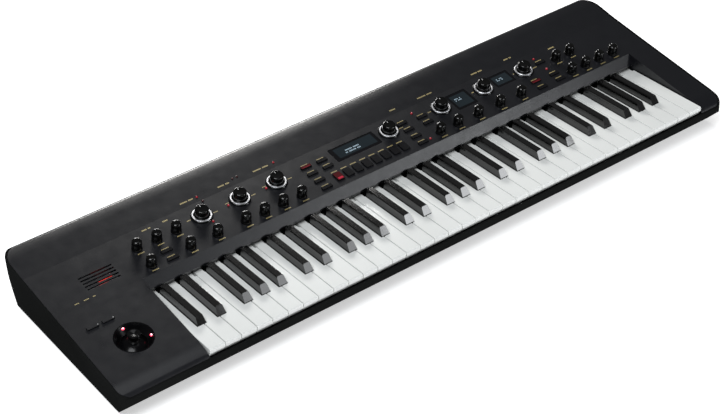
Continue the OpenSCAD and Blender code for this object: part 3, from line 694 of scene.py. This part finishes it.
class SynthLargeKnobs(bpy.types.Operator):
    """Turns the large knobs, with their skirt, bright ring, grip and pointer"""

    bl_idname = "synth.large_knobs"
    bl_label = "Large knobs"

    def skirt_and_grip(self, grip, height):
        """The black part: a skirt with a seat for the ring, and a grip with a shallow recess."""
        grip_foot = 2.4 * MM
        grip_head = height - 1.8 * MM
        piece = turned(14.85 * MM, 0.6 * MM, [
            (14.5 * MM, 1.0 * MM),
            (13.6 * MM, 1.0 * MM),
            (11.2 * MM, 1.3 * MM),
            (grip + 0.2 * MM, 1.5 * MM),
            (grip, grip_foot),
            (grip - 0.2 * MM, 0.6 * height),
            (grip - 0.4 * MM, grip_head),
            (grip - 0.75 * MM, height - 0.9 * MM),
            (grip - 1.3 * MM, height - 0.3 * MM),
            (grip - 2 * MM, height),
            (grip - 3 * MM, height - 0.15 * MM),
        ], 72)
        # a shallow recess round two thirds of the grip, away from the pointer
        select_faces(lambda f: is_side(f, grip_foot, grip_head) and not is_ahead(f))
        bpy.ops.mesh.inset(thickness=0.07 * MM, depth=-0.1 * MM)
        bpy.ops.object.mode_set(mode="OBJECT")
        return piece

    def bright_ring(self, width):
        """The ring that lies on the skirt, its two upper edges bevelled."""
        outer = 13.35 * MM
        inner = outer - width
        bevel = 0.35 * MM
        foot = 0.9 * MM
        return hoop((outer, foot), [
            (outer, 2.1 * MM),
            (outer - bevel, 2.5 * MM),
            (inner + bevel, 2.5 * MM),
            (inner, 2.15 * MM),
            (inner, foot),
            (outer, foot),
        ])

    def execute(self, context):
        sizes = context.scene.synth_sizes
        grip = sizes.grip_radius
        height = knob_height("value_dial", grip - 1.2 * MM) - KNOB_LIFT
        skirt = self.skirt_and_grip(grip, height)
        ring = self.bright_ring(sizes.ring_width)
        mark = shifted(plate(0.7 * MM, 2.4 * MM, 0.1 * MM, 0.25 * MM, height - 0.2 * MM), 0, 4.6 * MM, 0)
        for node in LARGE_KNOBS:
            place_at = joint_frame(node) @ Matrix.Translation((0, 0, KNOB_LIFT))
            cap = place(copy_of(skirt), node + "_cap", node, "knob_gloss", place_at)
            band = place(copy_of(ring), node + "_ring", node, "ring_metal", place_at)
            place(copy_of(mark), node + "_pointer", node, "pointer_white", place_at)
            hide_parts(node)
            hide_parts(node)
        for pattern in (skirt, ring, mark):
            drop(pattern)
        return {"FINISHED"}


class SynthButtons(bpy.types.Operator):
    """Finishes the buttons and lights the chosen ones"""

    bl_idname = "synth.buttons"
    bl_label = "Buttons"

    def execute(self, context):
        dress("category_buttons", "button_rubber")
        dress("function_buttons", "button_rubber")
        dress("assign_buttons", "sheet_paint")
        dot_x, dot_v = ASSIGN_DOT
        for i, x in enumerate(ASSIGN_BUTTONS_X):
            place(plate(0.9 * MM, 1.1 * MM, 0.08 * MM, 0.3 * MM), f"assign_dot_{i + 1}", "assign_buttons",
                  "pointer_white", surface_place("assign_buttons", x + dot_x, dot_v))
        for i, (body, x, v, (width, depth), bar_finish) in enumerate(LIT_BUTTONS):
            place_at = panel_place(x, v)
            lens = plate(width * MM, depth * MM, 0.15 * MM, 0.8 * MM, 1.6 * MM)
            place(lens, f"lit_button_{i + 1}", body, "red_button", place_at)
            bar = plate(0.74 * width * MM, 0.24 * depth * MM, 0.1 * MM, 0.5 * MM, 1.72 * MM)
            shifted(bar, 0, -0.3 * depth * MM, 0)
            place(bar, f"lit_button_{i + 1}_bar", body, bar_finish, place_at)
        return {"FINISHED"}


class SynthLamps(bpy.types.Operator):
    """Puts lenses on the panel's lamps"""

    bl_idname = "synth.lamps"
    bl_label = "Lamps"

    def lens(self, radius):
        """A domed lens: a ball cut off a little below its middle."""
        clear_selection()
        bpy.ops.mesh.primitive_uv_sphere_add(segments=24, ring_count=12, radius=radius)
        piece = bpy.context.object
        bpy.ops.object.mode_set(mode="EDIT")
        bpy.ops.mesh.select_all(action="SELECT")
        bpy.ops.mesh.bisect(plane_co=(0, 0, -0.6 * MM), plane_no=(0, 0, 1), clear_inner=True, use_fill=True)
        bpy.ops.object.mode_set(mode="OBJECT")
        return piece

    def execute(self, context):
        radius = context.scene.synth_sizes.lamp_radius
        lift = 0.1 * MM
        for i, (x, v) in enumerate(LIT_LAMPS + DARK_LAMPS):
            glow = "red_lamp" if i < len(LIT_LAMPS) else "dark_lamp"
            place(self.lens(radius), f"lamp_{i + 1}", "case", glow,
                  panel_place(x, v, lift))
            if i < BRIGHT_LAMPS:
                core = turned(0.62 * MM, 0.2 * MM, [(0.4 * MM, 0.34 * MM)], 20)
                place(core, f"lamp_{i + 1}_core", "case", "lamp_core",
                      panel_place(x, v, lift + radius - 0.12 * MM))
        return {"FINISHED"}


class SynthDisplays(bpy.types.Operator):
    """Fits the displays with a glass pane and a grid of plain cells"""

    bl_idname = "synth.displays"
    bl_label = "Displays"

    def grid(self, size, counts, lit):
        """A grid of plain cells, made where they are lit."""
        columns, rows = counts
        step_x = size[0] / columns
        step_y = size[1] / rows
        cells = []
        for c in range(columns):
            for r in range(rows):
                if lit(c, r):
                    cell = plate(0.62 * step_x * MM, 0.5 * step_y * MM, 0.04 * MM, 0.12 * MM)
                    x = (c + 0.5 - columns / 2) * step_x
                    y = (r + 0.5 - rows / 2) * step_y
                    cells.append(shifted(cell, x * MM, y * MM, 0))
        return joined(cells)

    def execute(self, context):
        dress("display_windows", "display_black")
        for name, x, v, (width, depth), _ in DISPLAYS:
            glass = plate(width * MM, depth * MM, 0.1 * MM, 0.6 * MM)
            place(glass, name + "_display_glass", "case", "display_glass",
                  panel_place(x, v, -0.24 * MM))
        for name, x, v, size, counts, lit in CELLS:
            place(self.grid(size, counts, lit), name + "_display_cells", "case", "pale_glyphs",
                  panel_place(x, v, -0.13 * MM))
        return {"FINISHED"}


class SynthPrint(bpy.types.Operator):
    """Prints plain gold marks where the controls are labelled"""

    bl_idname = "synth.print_marks"
    bl_label = "Printed marks"

    def marks(self):
        """Places of the marks: x, v, width, depth."""
        marks = []
        axle_x = {n: (JOINTS[n]["pos_m"][0] - KEY_EDGE) / MM for n in SMALL_KNOBS + LARGE_KNOBS}
        for n in SMALL_KNOBS:
            v = UPPER_MARK_V if n in UPPER_SMALL_KNOBS else LOWER_MARK_V
            marks.append((axle_x[n], v, *SMALL_KNOB_MARK))
        for n in LARGE_KNOBS:
            for dx, v, width, depth in LARGE_KNOB_MARKS:
                marks.append((axle_x[n] + dx, v, width, depth))
        for v, titles in (UPPER_TITLES, LOWER_TITLES):
            for x, width in titles:
                marks.append((x, v, width, TITLE_DEPTH))
        for i in range(CATEGORY_COUNT):
            marks.append((CATEGORY_X + CATEGORY_PITCH * i, *CATEGORY_MARK))
        for x, column in BUTTON_COLUMNS:
            for v in column:
                marks.append((x, v, *BUTTON_MARK))
        v, depth, deck_marks = DECK_MARKS
        for x, width in deck_marks:
            marks.append((x, v, width, depth))
        return marks

    def over_display(self, x, v):
        """Whether a block would hang over a display's hole."""
        for _, hole_x, hole_v, _, (width, depth) in DISPLAYS:
            if abs(x - hole_x) < width / 2 and abs(v - hole_v) < depth / 2:
                return True
        return False

    def execute(self, context):
        lift = context.scene.synth_sizes.print_lift
        patterns = {}
        blocks = []
        for x, v, width, depth in self.marks():
            count = max(3, round(width / BLOCK_STEP))
            step = width / count
            size = (round(BLOCK_FILL * step, 1), depth)
            if size not in patterns:
                patterns[size] = plate(size[0] * MM, depth * MM, lift, 0.2 * MM)
            for i in range(count):
                block_x = x + (i + 0.5 - count / 2) * step
                left_out = count > LONG_ROW and i == count // 2 + 1
                if not left_out and not self.over_display(block_x, v):
                    block = copy_of(patterns[size])
                    block.data.transform(surface_place("top_panel", block_x, v))
                    blocks.append(block)
        for pattern in patterns.values():
            drop(pattern)
        place(joined(blocks), "printed_marks", "case", "print_gold")
        return {"FINISHED"}


class SynthJoystick(bpy.types.Operator):
    """Finishes the joystick and lights its dish"""

    bl_idname = "synth.joystick"
    bl_label = "Joystick"

    def lens(self):
        """A low round lens: a flattened ball."""
        clear_selection()
        bpy.ops.mesh.primitive_uv_sphere_add(segments=20, ring_count=10, radius=DISH_LAMP_RADIUS)
        piece = bpy.context.object
        bpy.ops.object.mode_set(mode="EDIT")
        bpy.ops.mesh.select_all(action="SELECT")
        bpy.ops.transform.resize(value=(1.0, 1.0, 0.45), center_override=(0, 0, 0))
        bpy.ops.object.mode_set(mode="OBJECT")
        return piece

    def execute(self, context):
        dress("joystick_cup", "dish_black")
        dress("joystick_stick", "dish_black")
        dress("joystick_cap", "cap_rubber")
        joint = JOINTS["joystick_stick"]
        along = Vector((1, 0, 0))
        across = Vector(joint["axis"]).normalized()
        up = along.cross(across)
        base = frame_at(along, across, up, Vector(joint["pos_m"]) + up * SHEET_OVER_PIVOT)
        for i, angle in enumerate(DISH_LAMP_ANGLES):
            turn = math.radians(angle)
            spot = base @ Matrix.Translation((
                DISH_LAMP_RING * math.cos(turn), DISH_LAMP_RING * math.sin(turn), -DISH_LAMP_DEPTH
            ))
            place(self.lens(), f"dish_lamp_{i + 1}", "case", "dish_lamp", spot)
            core = turned(1.35 * MM, 0.3 * MM, [(1.0 * MM, 0.5 * MM)], 20)
            place(core, f"dish_lamp_{i + 1}_core", "case", "dish_core",
                  spot @ Matrix.Translation((0, 0, 0.68 * MM)))
        return {"FINISHED"}


class SynthValve(bpy.types.Operator):
    """Fills the valve with its plates, discs and glowing heater"""

    bl_idname = "synth.valve"
    bl_label = "Valve"

    def execute(self, context):
        dress("valve", "valve_glass")
        low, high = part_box("valve")
        centre = Matrix.Translation((low + high) / 2)
        along = Matrix.Rotation(math.radians(90), 4, "Y")
        made = []
        for x in (-15, 14):
            disc = turned(8.6 * MM, 0.5 * MM, [(8.2 * MM, 0.8 * MM)], 32)
            disc.data.transform(centre @ Matrix.Translation((x * MM, 0, 0)) @ along)
            made.append(disc)
        for y in (-3.4, 3.4):
            anode = plate(26 * MM, 5.6 * MM, 8 * MM, 0.8 * MM, -4 * MM)
            anode.data.transform(centre @ Matrix.Translation((0, y * MM, 0)))
            made.append(anode)
        place(joined(made), "valve_plates", "case", "chassis_metal")
        heater = turned(1.6 * MM, 18 * MM, [(1.2 * MM, 18.6 * MM)], 16)
        heater.data.transform(centre @ Matrix.Translation((2 * MM, 2 * MM, 6.4 * MM)) @ along)
        place(heater, "valve_heater", "case", "warm_glow")
        return {"FINISHED"}


class SynthStage(bpy.types.Operator):
    """Sets the floor, the soft lights and the camera"""

    bl_idname = "synth.stage"
    bl_label = "Stage"

    def lay_floor(self):
        """A pale floor that glows a little, so that it stays even."""
        clear_selection()
        bpy.ops.mesh.primitive_plane_add(size=14, location=(0, 0, 0))
        floor = bpy.context.object
        floor.name = "floor"
        paper = finish("floor_white")
        shader = paper.node_tree.nodes["Principled BSDF"]
        shader.inputs["Emission Color"].default_value = (1, 1, 1, 1)
        shader.inputs["Emission Strength"].default_value = 0.5
        floor.data.materials.append(paper)

    def soft_light(self, name, where, aim, size, power, colour):
        """A rectangular light that points at its aim."""
        data = bpy.data.lights.new(name, "AREA")
        data.shape = "RECTANGLE"
        data.size, data.size_y = size
        data.energy = power
        data.color = colour
        lamp = bpy.data.objects.new(name, data)
        lamp.location = where
        lamp.rotation_euler = (Vector(aim) - Vector(where)).to_track_quat("-Z", "Y").to_euler()
        bpy.context.scene.collection.objects.link(lamp)

    def set_camera(self, scene, settings):
        """The camera, turned to its target and rolled about its line of sight."""
        azimuth, elevation, roll = settings.azimuth, settings.elevation, settings.roll
        right = Vector((math.cos(azimuth), math.sin(azimuth), 0))
        back = Vector((
            math.sin(azimuth) * math.cos(elevation), -math.cos(azimuth) * math.cos(elevation),
            math.sin(elevation),
        ))
        up = back.cross(right)
        camera_x = math.cos(roll) * right + math.sin(roll) * up
        camera_y = math.cos(roll) * up - math.sin(roll) * right
        data = bpy.data.cameras.new("camera")
        data.lens = settings.lens
        data.sensor_width = 36
        camera = bpy.data.objects.new("camera", data)
        where = Vector(settings.target) + back * settings.distance
        camera.matrix_world = frame_at(camera_x, camera_y, back, where)
        scene.collection.objects.link(camera)
        scene.camera = camera

    def execute(self, context):
        scene = context.scene
        settings = scene.synth_stage
        self.lay_floor()
        for name, where, aim, size, watts, colour in SOFT_LIGHTS:
            self.soft_light(name, where, aim, size, watts * settings.light, colour)
        world = bpy.data.worlds.new("studio")
        scene.world = world
        world.use_nodes = True
        background = world.node_tree.nodes["Background"]
        background.inputs["Color"].default_value = (1, 1, 1, 1)
        background.inputs["Strength"].default_value = WORLD_STRENGTH
        self.set_camera(scene, settings)
        scene.view_settings.view_transform = "Standard"
        return {"FINISHED"}


class SynthPanel(bpy.types.Panel):
    """Lists the steps"""

    bl_idname = "VIEW3D_PT_synth"
    bl_label = "Synthesizer keyboard"
    bl_space_type = "VIEW_3D"
    bl_region_type = "UI"
    bl_category = "Synth"

    def draw(self, context):
        for step in STEPS:
            self.layout.operator(step.bl_idname)


STEPS = (
    SynthCase, SynthKeys, SynthSmallKnobs, SynthLargeKnobs, SynthButtons, SynthLamps, SynthDisplays,
    SynthPrint, SynthJoystick, SynthValve, SynthStage,
)
CLASSES = (SynthSizes, SynthColours, StageSettings, *STEPS, SynthPanel)


def register():
    """Registers the settings, the operators and the panel."""
    for cls in CLASSES:
        bpy.utils.register_class(cls)
    bpy.types.Scene.synth_sizes = bpy.props.PointerProperty(type=SynthSizes)
    bpy.types.Scene.synth_colours = bpy.props.PointerProperty(type=SynthColours)
    bpy.types.Scene.synth_stage = bpy.props.PointerProperty(type=StageSettings)


def unregister():
    """Removes what register added."""
    del bpy.types.Scene.synth_stage
    del bpy.types.Scene.synth_colours
    del bpy.types.Scene.synth_sizes
    for cls in reversed(CLASSES):
        bpy.utils.unregister_class(cls)


def main():
    """Runs every step in order."""
    register()
    bpy.ops.synth.case()
    bpy.ops.synth.keys()
    bpy.ops.synth.small_knobs()
    bpy.ops.synth.large_knobs()
    bpy.ops.synth.buttons()
    bpy.ops.synth.lamps()
    bpy.ops.synth.displays()
    bpy.ops.synth.print_marks()
    bpy.ops.synth.joystick()
    bpy.ops.synth.valve()
    bpy.ops.synth.stage()


if __name__ == "__main__":
    main()
